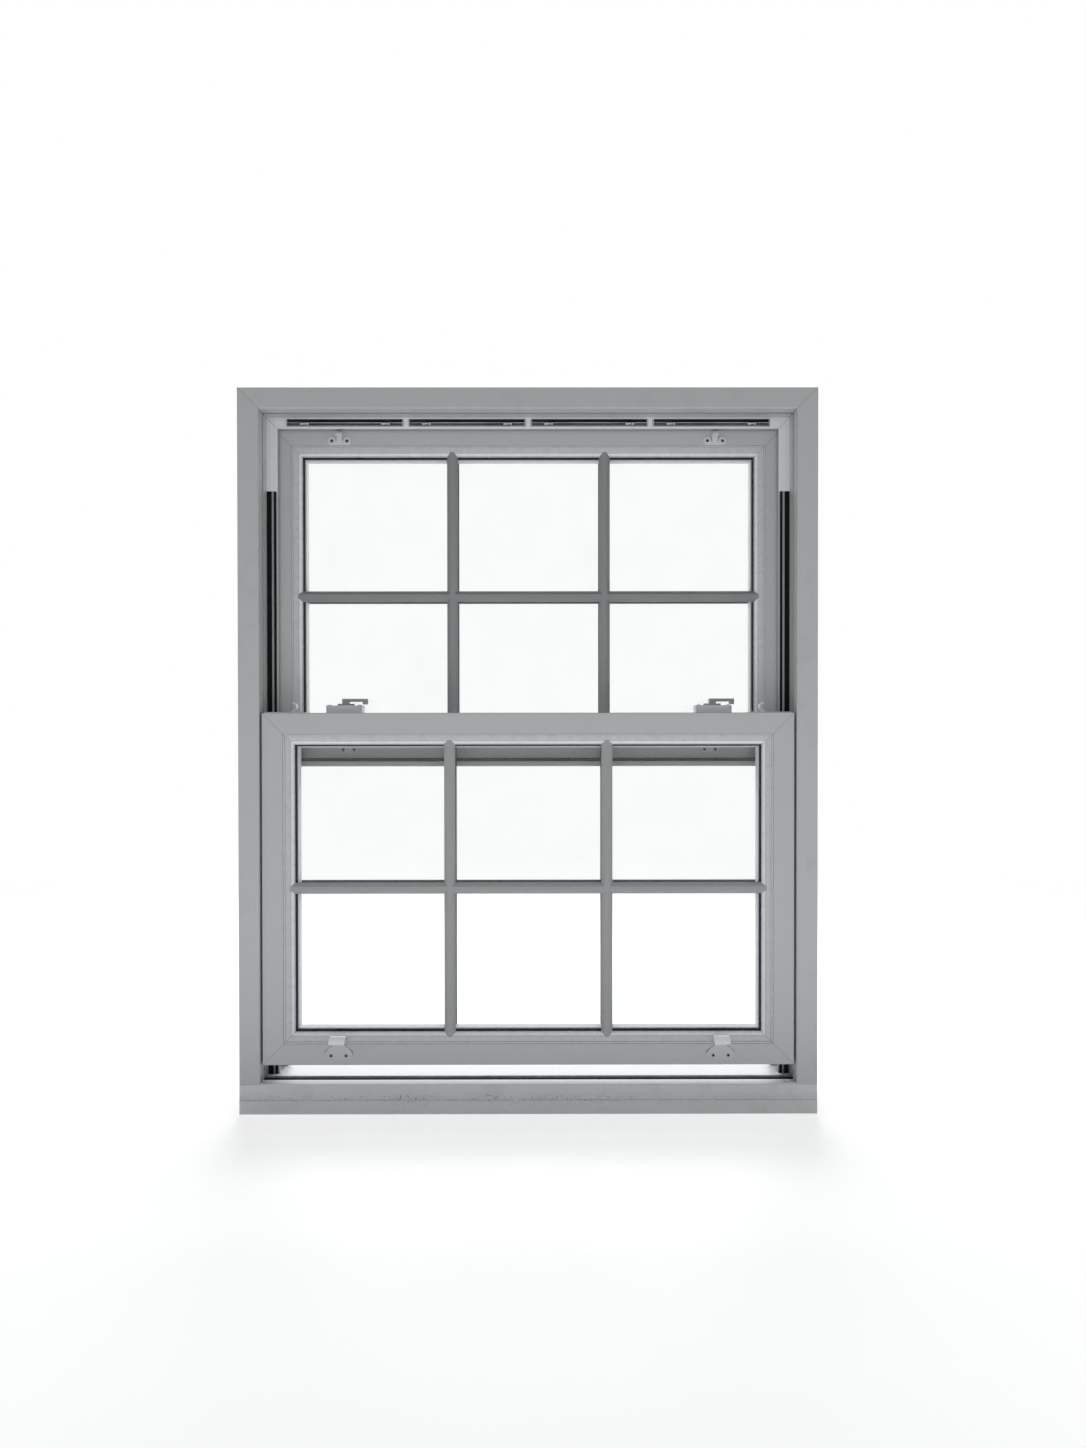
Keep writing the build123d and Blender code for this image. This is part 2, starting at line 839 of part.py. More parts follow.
def keeper():
    """A keeper: a foot screwed to the upper rail, a shelf over the gap and a lug for the cam."""
    back = 0
    riser = -keeper_thickness
    front = -keeper_reach
    shelf_top = lower_top_closed() + keeper_above_closed_rail + keeper_thickness
    shelf_low = shelf_top - keeper_thickness
    foot_low = upper_bottom + sash_flat - keeper_foot
    lug_back = front + keeper_lug_thickness
    half = keeper_width / 2
    body = block((-half, half), (riser, back), (foot_low, shelf_top))
    narrow = keeper_lug_width / 2
    body += block((-narrow, narrow), (front, back), (shelf_low, shelf_top))
    body += block((-narrow, narrow), (front, lug_back), (shelf_low, shelf_top + keeper_lug_height - 1))
    place = Pos(0, riser, foot_low + keeper_screw_height) * Rot(90, 0, 0)
    return drilled(body, screw_pair(place, keeper_screw_spread, keeper_thickness))


def lower_top_closed():
    """The height of the lower sash's top when it is shut."""
    return sill_height + closed_gap + sash_height


def lift_front():
    """A hook lift's outline: a rounded plate whose shoulders run up to a neck and a wider lip."""
    low = lift_from_edge
    half = lift_width / 2
    neck = lift_neck / 2
    widest = low + lift_shoulder
    top = lift_curl_height + lift_curl + 1
    throat = low + lift_plate
    right = [
        Line((0, low), (lift_base / 2, low)),
        ThreePointArc((lift_base / 2, low), (half - 2.2, widest - 6.2), (half, widest)),
        ThreePointArc((half, widest), (half - 4.2, throat - 6.0), (neck, throat)),
        Line((neck, throat), (neck, throat + 5)),
        Line((neck, throat + 5), (lift_lip / 2, throat + 9)),
        Line((lift_lip / 2, throat + 9), (lift_lip / 2, top)),
        Line((lift_lip / 2, top), (0, top)),
        Line((0, top), (0, low)),
    ]
    side = Sketch() + make_face(right)
    return side + mirror(side, about=Plane.YZ)


def lift():
    """A hook lift, its back on the sash's face."""
    body = hooked_plate(lift_front(), lift_curl, lift_curl_height, lift_thickness, lift_from_edge)
    place = Pos(0, -lift_thickness, lift_from_edge + lift_hole_height) * Rot(90, 0, 0)
    return drilled(body, screw_pair(place, lift_hole_spread, lift_thickness))


def pull():
    """A finger pull, its back on the sash's face: two rings on a bridge, and a narrow curled finger."""
    low = sash_height - pull_from_edge
    middle = low + pull_ring / 2
    front = Sketch() + rectangle((-pull_neck / 2, pull_neck / 2), (low, low + 3 * pull_curl_rise))
    front += rectangle((-pull_ring_spread / 2, pull_ring_spread / 2), (low, low + pull_bridge))
    for end in (-1, 1):
        front += Pos(end * pull_ring_spread / 2, middle) * Circle(pull_ring / 2)
    body = hooked_plate(front, pull_curl, low + pull_curl_rise, pull_thickness, low)
    place = Pos(0, -pull_thickness, middle) * Rot(90, 0, 0)
    return drilled(body, screw_pair(place, pull_ring_spread, pull_thickness))


def screw(gripped, grown=0.0):
    """A screw with a low head on the plane of height 0, reaching down past what it grips."""
    low = -gripped - screw_hold
    body = along_z(RegularPolygon(screw_head / 2 + grown, screw_head_sides), 0, screw_head_height)
    return body + along_z(RegularPolygon(screw_shank / 2 + grown, screw_shank_sides), low, 0)


def screw_pair(place, spread, gripped):
    """Places and gripped thicknesses of two screws on either side of a place."""
    return [(place * Pos(sign * spread / 2, 0, 0), gripped) for sign in (-1, 1)]


def drilled(body, screws):
    """A piece with the holes for its screws."""
    for place, gripped in screws:
        body -= place * screw(gripped, screw_clearance)
    return body


def from_sides(distances):
    """Places along X, for distances from the sash's left and right sides."""
    half = sash_width / 2
    return {"left": distances["left"] - half, "right": half - distances["right"]}


def both_sides(name, piece, move):
    """Stores a right-hand piece and its mirror image on the left."""
    parts[f"{name}_right"] = move * piece
    parts[f"{name}_left"] = move * mirror(piece, about=Plane.YZ)


def pair(piece):
    """A right-hand piece and its mirror image as one group."""
    return group([piece, mirror(piece, about=Plane.YZ)])


def store_sash(name, move, cuts):
    """Stores what both sashes share, with the cuts made in its rails and stiles."""
    for piece_name, piece in sash_parts().items():
        if piece_name.endswith("rail") or piece_name.startswith("stile"):
            for cut in cuts:
                piece = piece - cut
        parts[f"{name}_{piece_name}"] = move * piece
    parts[f"{name}_pivot_bars"] = move * pair(pivot_bar())


def build_lower_sash():
    """The lower sash with its latches, locks, lifts and pivot bars."""
    move = Pos(0, lower_face, lower_bottom)
    cut = latch_pocket(grown=1) + pivot_slot()
    cut += mirror(cut, about=Plane.YZ)
    screws = []
    for x in from_sides(lock_from_side).values():
        place = Pos(x, lock_screw_depth, sash_height + lock_height)
        screws += screw_pair(place, lock_screw_spread, lock_height)
    for x in from_sides(lift_from_side).values():
        place = Pos(x, -lift_thickness, lift_from_edge + lift_hole_height) * Rot(90, 0, 0)
        screws += screw_pair(place, lift_hole_spread, lift_thickness)
    holes = [place * screw(length, screw_clearance) for place, length in screws]
    store_sash("lower", move, [cut, *holes])
    parts["lower_screws"] = move * group([place * screw(length) for place, length in screws])
    both_sides("latch_case", latch_case(), move)
    both_sides("latch_bolt", latch_bolt(), move)
    for side, x in from_sides(lock_from_side).items():
        parts[f"lock_base_{side}"] = move * Pos(x, 0, sash_height) * lock_base()
        parts[f"lock_lever_{side}"] = move * Pos(x, 0, sash_height) * lock_lever()
    for side, x in from_sides(lift_from_side).items():
        parts[f"sash_lift_{side}"] = move * Pos(x, 0, 0) * lift()


def build_upper_sash():
    """The upper sash with its keepers, finger pulls, meeting rail pile and pivot bars."""
    move = Pos(0, upper_face, upper_bottom)
    screws = []
    height = sash_flat - keeper_foot + keeper_screw_height
    for x in from_sides(lock_from_side).values():
        place = Pos(x, -keeper_thickness, height) * Rot(90, 0, 0)
        screws += screw_pair(place, keeper_screw_spread, keeper_thickness)
    for x in from_sides(pull_from_side).values():
        middle = sash_height - pull_from_edge + pull_ring / 2
        place = Pos(x, -pull_thickness, middle) * Rot(90, 0, 0)
        screws += screw_pair(place, pull_ring_spread, pull_thickness)
    holes = [place * screw(length, screw_clearance) for place, length in screws]
    store_sash("upper", move, [pivot_slot() + mirror(pivot_slot(), about=Plane.YZ), *holes])
    parts["upper_screws"] = move * group([place * screw(length) for place, length in screws])
    keepers = [Pos(x, upper_face, 0) * keeper() for x in from_sides(lock_from_side).values()]
    parts["lock_keepers"] = group(keepers)
    for side, x in from_sides(pull_from_side).items():
        parts[f"finger_pull_{side}"] = move * Pos(x, 0, 0) * pull()
    gap = upper_face - lower_face - sash_thickness
    half = half_opening - rib_height - 1
    parts["meeting_pile"] = move * block(
        (-half, half),
        (meeting_pile_gap - gap, 0),
        (meeting_pile_from_edge, meeting_pile_from_edge + meeting_pile_height),
    )


def build_balances():
    """Tubes fixed in the jambs' pockets, and the shoes and rods that run with the sashes."""
    lower_stop = lower_bottom + shoe_top + lower_lift + tube_stop_gap
    upper_stop = upper_bottom + shoe_top + tube_stop_gap
    sets = [
        ("lower", lower_face, lower_bottom, lower_stop, lower_stop + rod_engaged),
        ("upper", upper_face, upper_bottom, upper_stop, tube_top - tube_plug - rod_plug_gap),
    ]
    for name, face, bottom, tube_low, rod_high in sets:
        parts[f"{name}_balance_tubes"] = pair(tube(tube_low, face + sash_middle))
        move = Pos(0, face, bottom)
        parts[f"{name}_shoes"] = move * pair(shoe())
        parts[f"{name}_balance_rods"] = move * pair(rod(shoe_top, rod_high - bottom))


build_frame()
build_trims_and_piles()
build_vents()
build_lower_sash()
build_upper_sash()
build_balances()

os.makedirs("parts", exist_ok=True)
to_origin = Pos(0, -frame_depth / 2, 0)
for node, piece in parts.items():
    export_step(to_origin * piece, f"parts/{node}.step")
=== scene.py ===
import math
import random

import bmesh
import bpy
from mathutils import Matrix, Vector
from mathutils.geometry import tessellate_polygon


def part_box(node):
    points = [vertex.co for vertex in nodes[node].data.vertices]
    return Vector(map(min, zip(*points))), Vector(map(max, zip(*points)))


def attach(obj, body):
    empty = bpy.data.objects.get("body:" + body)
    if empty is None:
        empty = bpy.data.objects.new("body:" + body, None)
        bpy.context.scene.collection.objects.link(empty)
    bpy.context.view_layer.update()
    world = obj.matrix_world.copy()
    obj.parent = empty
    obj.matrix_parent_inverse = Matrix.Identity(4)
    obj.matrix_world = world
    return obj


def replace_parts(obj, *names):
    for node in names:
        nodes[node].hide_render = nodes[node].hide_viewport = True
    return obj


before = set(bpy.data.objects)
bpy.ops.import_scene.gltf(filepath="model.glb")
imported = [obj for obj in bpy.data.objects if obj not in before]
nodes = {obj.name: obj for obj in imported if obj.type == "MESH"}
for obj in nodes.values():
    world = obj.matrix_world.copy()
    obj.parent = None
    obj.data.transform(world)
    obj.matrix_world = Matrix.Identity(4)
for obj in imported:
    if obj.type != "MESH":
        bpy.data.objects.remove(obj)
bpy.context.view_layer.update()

MM = 0.001
FACE = -67.5 * MM          # the frame's room face
HALF_WIDTH = 462.5         # the frame's, in millimetres
HEIGHT = 1160.0            # the frame's, in millimetres

# The sashes' and the frame's outlines: half width, bottom, top and room face.
# The frame's bottom lies far down, because its jambs aren't mitred to the sill.
LOWER = (426.5 * MM, 77.5 * MM, 642.5 * MM, -63.5 * MM)
UPPER = (426.5 * MM, 553.7 * MM, 1118.7 * MM, -3.5 * MM)
FRAME = (HALF_WIDTH * MM, -2.0, HEIGHT * MM, FACE)

# Where the fittings stand along X, and the lifts' screw holes along Z, in millimetres
LOCKS, LIFTS, PULLS = (-298.0, 300.5), (-304.0, 308.0), (-312.0, 308.5)
LIFT_HOLES = 93.7


class Shader:
    """A material's node tree, with short calls for what the materials share."""

    def __init__(self, name):
        self.material = bpy.data.materials.new(name)
        self.material.use_nodes = True
        self.tree = self.material.node_tree
        self.bsdf = self.tree.nodes["Principled BSDF"]
        coords = self.add("ShaderNodeTexCoord")
        self.place = coords.outputs["Object"]
        split = self.add("ShaderNodeSeparateXYZ")
        self.link(self.place, split.inputs[0])
        self.x, self.y, self.z = split.outputs

    def add(self, kind, **values):
        node = self.tree.nodes.new(kind)
        for key, value in values.items():
            setattr(node, key, value)
        return node

    def link(self, a, b):
        self.tree.links.new(a, b)

    def put(self, socket, value):
        """Links a socket to another, or sets its value."""
        if isinstance(value, bpy.types.NodeSocket):
            self.link(value, socket)
        else:
            socket.default_value = value

    def set(self, **values):
        """Sets the main shader's sockets, with _ for the spaces in their names."""
        for key, value in values.items():
            self.put(self.bsdf.inputs[key.replace("_", " ")], value)

    def math(self, kind, a, b=0.0, clamp=False):
        node = self.add("ShaderNodeMath", operation=kind, use_clamp=clamp)
        for socket, value in zip(node.inputs, (a, b)):
            self.put(socket, value)
        return node.outputs[0]

    def noise(self, scale, detail, rough, stretch=(1, 1, 1)):
        place = self.place
        if stretch != (1, 1, 1):
            mapping = self.add("ShaderNodeMapping")
            mapping.inputs["Scale"].default_value = stretch
            self.link(place, mapping.inputs["Vector"])
            place = mapping.outputs[0]
        node = self.add("ShaderNodeTexNoise")
        self.link(place, node.inputs["Vector"])
        node.inputs["Scale"].default_value = scale
        node.inputs["Detail"].default_value = detail
        node.inputs["Roughness"].default_value = rough
        return node.outputs["Fac"]

    def ramp(self, value, low, high, start=0.0, end=1.0):
        """Runs from start to end as value goes from low to high, held at both ends."""
        node = self.add("ShaderNodeMapRange", clamp=True)
        for socket, given in zip(node.inputs, (value, low, high, start, end)):
            self.put(socket, given)
        return node.outputs[0]

    def band(self, value, low, high, soft):
        """1 where value lies between low and high, and 0 beyond, with soft edges."""
        rise = self.ramp(value, low - soft, low + soft)
        fall = self.ramp(value, high - soft, high + soft, 1.0, 0.0)
        return self.math("MULTIPLY", rise, fall)

    def times(self, *values):
        """The product of several values."""
        total = values[0]
        for value in values[1:]:
            total = self.math("MULTIPLY", total, value)
        return total

    def blend(self, share, a, b):
        """Colour b over colour a, by its share."""
        node = self.add("ShaderNodeMix", data_type="RGBA")
        self.put(node.inputs["Factor"], share)
        for socket, value in (("A", a), ("B", b)):
            target = [s for s in node.inputs if s.name == socket and s.type == "RGBA"][0]
            self.put(target, value)
        return [s for s in node.outputs if s.type == "RGBA"][0]

    def bump(self, height, strength, distance):
        node = self.add("ShaderNodeBump")
        node.inputs["Strength"].default_value = strength
        node.inputs["Distance"].default_value = distance
        self.link(height, node.inputs["Height"])
        self.link(node.outputs[0], self.bsdf.inputs["Normal"])


def grey(value, tint=(1.0, 1.0, 1.0)):
    return (value * tint[0], value * tint[1], value * tint[2], 1.0)


COOL = (0.972, 0.992, 1.008)
WHITE = grey(0.54, COOL)
GRIME = (0.30, 0.285, 0.25, 1.0)
SOIL = (0.115, 0.10, 0.075, 1.0)
MOULD = (0.030, 0.029, 0.026, 1.0)
CORNER = (0.055, 0.042, 0.040, 1.0)
SILT = (0.075, 0.06, 0.052, 1.0)


def inset_and_mitre(shader, outline):
    """How far in from a rectangle's edge a point lies, and how far it is off the mitred corners."""
    half, bottom, top, _ = outline
    side = shader.math("SUBTRACT", half, shader.math("ABSOLUTE", shader.x))
    low = shader.math("SUBTRACT", shader.z, bottom)
    high = shader.math("SUBTRACT", top, shader.z)
    near = shader.math("MINIMUM", low, high)
    off = shader.math("ABSOLUTE", shader.math("SUBTRACT", side, near))
    return shader.math("MINIMUM", side, near), off


SHOWN = (12.5 * MM, 13.5 * MM)     # painted groove shade and lip highlight fade out this far behind the room face
MITRE = (0.25 * MM, 0.75 * MM)     # half the width of a welded corner's line, and its edge


def white_plastic(
    name, outline=None, base=WHITE, rough=0.32, dirt=0.25, scuffs=0.5, marks_and_light=None,
    joints=(), lip_highlight=None,
):
    """White plastic: a faint orange peel, rubbed patches, dust, welded corners, painted shade lines
    in its grooves and a painted highlight on a lip.

    The painted shade lines in the grooves run around the outline: how far in, half width, share.
    The painted highlight is a band on a lip: its start and end, how far in. Both are in
    millimetres.
    """
    s = Shader(name)
    cloud = s.noise(9.0, 4.0, 0.6)
    fine = s.noise(420.0, 3.0, 0.6)
    colour = s.blend(s.ramp(cloud, 0.35, 0.75, 0.0, 0.10), base, grey(0.46, (1.0, 0.99, 0.96)))
    dusty = s.math("MULTIPLY", s.ramp(s.noise(24.0, 4.0, 0.6), 0.55, 0.8), dirt)
    colour = s.blend(s.math("MULTIPLY", dusty, 0.35), colour, GRIME)
    speck = s.ramp(s.noise(900.0, 2.0, 0.5), 0.70, 0.76)
    colour = s.blend(s.math("MULTIPLY", speck, 0.25 * dirt), colour, GRIME)
    height = s.math("MULTIPLY", fine, 0.12)
    if outline:
        inset, off = inset_and_mitre(s, outline)
        line = s.ramp(off, *MITRE, 1.0, 0.0)
        face = outline[3]
        front = s.ramp(s.y, face + SHOWN[0], face + SHOWN[1], 1.0, 0.0)
        # painted highlight on the beads' lip beside the glass, standing in for light on its slope
        if lip_highlight:
            lit = s.band(inset, lip_highlight[0] * MM, lip_highlight[1] * MM, 0.25 * MM)
            colour = s.blend(s.times(lit, front, 0.75), colour, grey(0.94, COOL))
        # painted shade lines along the grooves and steps of the section
        for place, reach, share in joints:
            mark = s.band(inset, (place - reach) * MM, (place + reach) * MM, 0.12 * MM)
            colour = s.blend(s.times(mark, front, share), colour, grey(0.13))
        colour = s.blend(s.math("MULTIPLY", line, 0.55), colour, grey(0.14))
        height = s.math("SUBTRACT", height, s.math("MULTIPLY", line, 1.5))
    # marks laid over the colour: real stains on some materials, painted shade and highlights on
    # others
    if marks_and_light:
        colour = marks_and_light(s, colour)
    s.set(Base_Color=colour)
    rubbed = s.math("MULTIPLY", s.noise(55.0, 3.0, 0.6), 0.14 * scuffs)
    s.set(Roughness=s.math("ADD", rough, rubbed))
    s.bsdf.inputs["Specular IOR Level"].default_value = 0.45
    s.bump(height, 0.25, 0.0004)
    return s.material


def assign(material, *names):
    for name in names:
        for place in nodes[name].material_slots:
            place.material = material


def sill_stain_and_highlight(s, colour):
    """Mould where the window board met the sill's face, a soiled track, dark corners, and a painted
    highlight on the top faces.
    """
    across = s.math("ABSOLUTE", s.x)
    front = s.ramp(s.y, FACE + 0.3 * MM, FACE + 0.8 * MM, 1.0, 0.0)
    low = s.times(s.ramp(s.z, 27 * MM, 34 * MM, 1.0, 0.06),
                  s.ramp(s.z, 18 * MM, 22 * MM, 0.25, 1.0))
    off = s.math("ABSOLUTE", s.math("ADD", s.x, 105 * MM))
    left = s.ramp(off, 100 * MM, 260 * MM, 1.0, 0.35)
    patch = s.ramp(s.noise(11.0, 3.0, 0.6), 0.40, 0.62, 0.15, 1.0)
    spots = s.ramp(s.noise(300.0, 3.0, 0.7), 0.585, 0.615)
    fine = s.ramp(s.noise(760.0, 2.0, 0.6), 0.61, 0.66)
    spots = s.math("MAXIMUM", spots, s.math("MULTIPLY", fine, 0.6))
    colour = s.blend(s.times(spots, front, low, left, patch, 0.95), colour, MOULD)
    film = s.ramp(s.noise(18.0, 5.0, 0.65, (0.5, 1.0, 1.6)), 0.45, 0.75, 0.0, 0.22)
    colour = s.blend(s.times(film, front, low), colour, GRIME)
    # a broken dark line along the face, 22 to 23 mm up
    face_line = s.band(s.z, 22.2 * MM, 23.4 * MM, 0.4 * MM)
    broken = s.ramp(s.noise(30.0, 4.0, 0.6, (1.0, 1.0, 0.1)), 0.35, 0.6, 0.25, 1.0)
    colour = s.blend(s.times(face_line, front, broken, 0.5), colour, MOULD)
    # painted highlight: the sill's top faces behind its front face lighter, as if lit by daylight
    lit_top = s.times(s.ramp(s.y, FACE + 0.8 * MM, FACE + 2 * MM), s.ramp(s.z, 33 * MM, 35 * MM))
    colour = s.blend(s.math("MULTIPLY", lit_top, 0.95), colour, grey(0.93, COOL))
    track = s.band(s.y, FACE + 20.4 * MM, FACE + 39.2 * MM, 0.5 * MM)
    deep = s.ramp(s.z, 47.4 * MM, 47.9 * MM, 1.0, 0.0)
    grit = s.ramp(s.noise(75.0, 5.0, 0.7, (0.5, 1.0, 1.0)), 0.25, 0.65, 0.45, 1.0)
    colour = s.blend(s.times(track, deep, grit, 0.95), colour, SOIL)
    ends = s.ramp(across, 395 * MM, 426 * MM)
    top = s.band(s.z, 40 * MM, 48.6 * MM, 1 * MM)
    behind = s.ramp(s.y, FACE + 3 * MM, FACE + 9 * MM)
    dark = s.ramp(s.noise(160.0, 4.0, 0.7), 0.40, 0.60)
    return s.blend(s.times(ends, top, behind, dark, 0.9), colour, CORNER)


def jamb_stain(s, colour):
    """Dirt at the jambs' feet, just above the sill."""
    foot = s.ramp(s.z, 48 * MM, 74 * MM, 1.0, 0.0)
    inside = s.ramp(s.y, FACE + 1 * MM, FACE + 4 * MM)
    dark = s.ramp(s.noise(140.0, 4.0, 0.7), 0.38, 0.62)
    return s.blend(s.times(foot, inside, dark, 0.8), colour, SILT)


def bar_foot_shade(glass_face):
    """Painted shade: dark lines where an astragal bar's feet meet the pane."""

    def marks_and_light(s, colour):
        foot = s.ramp(s.y, glass_face - 2.3 * MM, glass_face - 1.7 * MM)
        return s.blend(s.math("MULTIPLY", foot, 0.7), colour, grey(0.10))

    return marks_and_light


def lift_shadow(s, colour):
    """Painted shadow lines on the lower rail around the shoulders of the two lifts."""
    front = s.ramp(s.y, LOWER[3] + 0.5 * MM, LOWER[3] + 1 * MM, 1.0, 0.0)
    half_width, height = 24.6 * MM, 14.0 * MM
    rise = s.math("DIVIDE", s.math("SUBTRACT", s.z, LIFT_HOLES * MM), height)
    for place in LIFTS:
        out = s.math("DIVIDE", s.math("SUBTRACT", s.x, place * MM), half_width)
        squares = s.math("ADD", s.math("POWER", out, 2.0), s.math("POWER", rise, 2.0))
        line = s.band(s.math("SQRT", squares), 0.93, 1.0, 0.03)
        upper = s.times(s.ramp(rise, 0.15, 0.4), s.ramp(s.math("ABSOLUTE", out), 0.30, 0.36))
        colour = s.blend(s.times(line, upper, front, 0.75), colour, grey(0.10))
    return colour


# Painted shade lines along the rails' and beads' grooves and steps, and the painted highlight on
# the beads' lip, as white_plastic takes them
RAIL_GROOVE_SHADE = ((33.8, 0.35, 0.45),)
BEAD_GROOVE_SHADE = ((34.2, 0.35, 0.5), (36.9, 0.3, 0.4), (45.2, 0.25, 0.25))
BEAD_LIP_HIGHLIGHT = (46.0, 49.2)
# the lower sash's rails carry painted shadow lines around the lifts
sash_lower = white_plastic("upvc_lower_sash", LOWER, joints=RAIL_GROOVE_SHADE, marks_and_light=lift_shadow)
sash_upper = white_plastic("upvc_upper_sash", UPPER, joints=RAIL_GROOVE_SHADE)
bead_look = {
    "base": grey(0.60, COOL), "rough": 0.24, "dirt": 0.08, "joints": BEAD_GROOVE_SHADE, "lip_highlight": BEAD_LIP_HIGHLIGHT,
}
bead_lower = white_plastic("upvc_lower_beads", LOWER, **bead_look)
bead_upper = white_plastic("upvc_upper_beads", UPPER, **bead_look)
frame_white = white_plastic("upvc_frame", FRAME, dirt=0.5, marks_and_light=jamb_stain)
# A far lighter tone than the frame's: painted light standing in for light from below on the trims'
# downward faces. Its line at 40.4 mm is painted shade at the trim's step.
trim_white = white_plastic(
    "upvc_trim", FRAME, base=grey(0.90, COOL), rough=0.28, joints=((40.4, 0.3, 0.35),)
)
# The bars are the frame's white plastic in darker tones, as painted shade for thin backlit bars;
# the upper bars, further back, are darker still.
bars = {
    sash: white_plastic(
        f"upvc_{sash}_bars", base=grey(tone, COOL), rough=0.3, marks_and_light=bar_foot_shade(pane)
    )
    for sash, tone, pane in (("lower", 0.36, -51.5 * MM), ("upper", 0.26, 8.5 * MM))
}
sill_white = white_plastic("upvc_sill", base=grey(0.72, COOL), dirt=0.6, marks_and_light=sill_stain_and_highlight)


def lift_lip_highlight(s, colour):
    """Painted highlight on the lifts' curled lips, brighter than their plates and most at the
    front.
    """
    above = s.ramp(s.z, 107 * MM, 110 * MM)
    lip_highlight = s.math("MULTIPLY", above, s.ramp(s.y, -70 * MM, -67 * MM, 1.0, 0.3))
    return s.blend(s.math("MULTIPLY", lip_highlight, 0.8), colour, grey(0.94, COOL))


fitting = {"rough": 0.18, "dirt": 0.15, "scuffs": 0.6}
handled = {"rough": 0.2, "dirt": 0.3, "scuffs": 0.8}
hardware = white_plastic("painted_metal", base=grey(0.72, COOL), **fitting)
lift_metal = white_plastic("lift_metal", base=grey(0.58, COOL), marks_and_light=lift_lip_highlight, **fitting)
lock_metal = white_plastic("lock_metal", base=grey(0.62, COOL), **handled)
# The lever is the same painted metal as the lock's body, given a darker tone as painted shade.
lever_metal = white_plastic("lever_metal", base=grey(0.34, COOL), **handled)

for name in nodes:
    if name.endswith(("rail", "left", "right")):
        if name.startswith("lower_"):
            assign(sash_lower, name)
        elif name.startswith("upper_"):
            assign(sash_upper, name)
    if name.endswith(("bars_inner", "bars_outer")):
        assign(bars[name[:5]], name)
    for start, metal in (
        ("latch_", hardware), ("finger_pull", hardware), ("sash_lift", lift_metal),
        ("lock_", lock_metal), ("lock_lever", lever_metal),
    ):
        if name.startswith(start):
            assign(metal, name)
assign(bead_lower, "lower_beads")
assign(bead_upper, "upper_beads")
assign(frame_white, "head", "jamb_left", "jamb_right")
assign(trim_white, "vent_trim", "jamb_trim_left", "jamb_trim_right")
assign(sill_white, "sill")


def plain(name, base, rough, bumps=200.0, depth=0.0003, metallic=0.0, shine=0.5):
    """A finish of one tone, mottled a little, with a fine grain."""
    s = Shader(name)
    s.bsdf.inputs["Specular IOR Level"].default_value = shine
    tone = s.noise(60.0, 4.0, 0.6)
    dark = tuple(v * 0.6 for v in base[:3]) + (1.0,)
    s.set(Base_Color=s.blend(s.ramp(tone, 0.3, 0.7), dark, base))
    s.set(Roughness=s.ramp(tone, 0.2, 0.8, rough, rough + 0.15))
    s.bsdf.inputs["Metallic"].default_value = metallic
    s.bump(s.noise(bumps, 4.0, 0.6), 0.4, depth)
    return s.material


def spacer_metal(name, outline):
    """A silver spacer, with the black sealant beside it where it meets the panes."""
    s = Shader(name)
    inset, _ = inset_and_mitre(s, outline)
    silver = s.ramp(inset, 53.6 * MM, 54.2 * MM)
    dull = s.ramp(s.noise(300.0, 3.0, 0.6), 0.3, 0.7, 0.45, 0.6)
    s.set(Base_Color=s.blend(silver, grey(0.008), grey(0.80, COOL)), Roughness=dull)
    s.bump(s.noise(900.0, 3.0, 0.6), 0.3, 0.0002)
    return s.material


rubber = plain("black_rubber", grey(0.010), 0.55, shine=0.15)
pile = plain("woven_pile", grey(0.014), 0.9, 1500.0, 0.0008, shine=0.1)
spacers = {
    "lower": spacer_metal("lower_spacer", LOWER),
    "upper": spacer_metal("upper_spacer", UPPER),
}
steel = plain("zinc_plate", grey(0.5), 0.3, metallic=1.0)
nylon = plain("nylon", grey(0.6), 0.45)
for name in nodes:
    if "gaskets" in name or "seal" in name:
        assign(rubber, name)
    elif "pile" in name:
        assign(pile, name)
    elif "spacer" in name:
        assign(spacers[name[:5]], name)
    elif "rods" in name or "pivot_bars" in name or "screws" in name:
        assign(steel, name)
    elif "tubes" in name or "shoes" in name:
        assign(nylon, name)


VENTS = 4
VENT_MIDDLE = 1118.8 * MM
VENT_PITCH = 200.6 * MM
VENT_HALF = 96.7 * MM
VENT_FRONT = -17.5 * MM
DUST = (1.0, 0.98, 0.94)


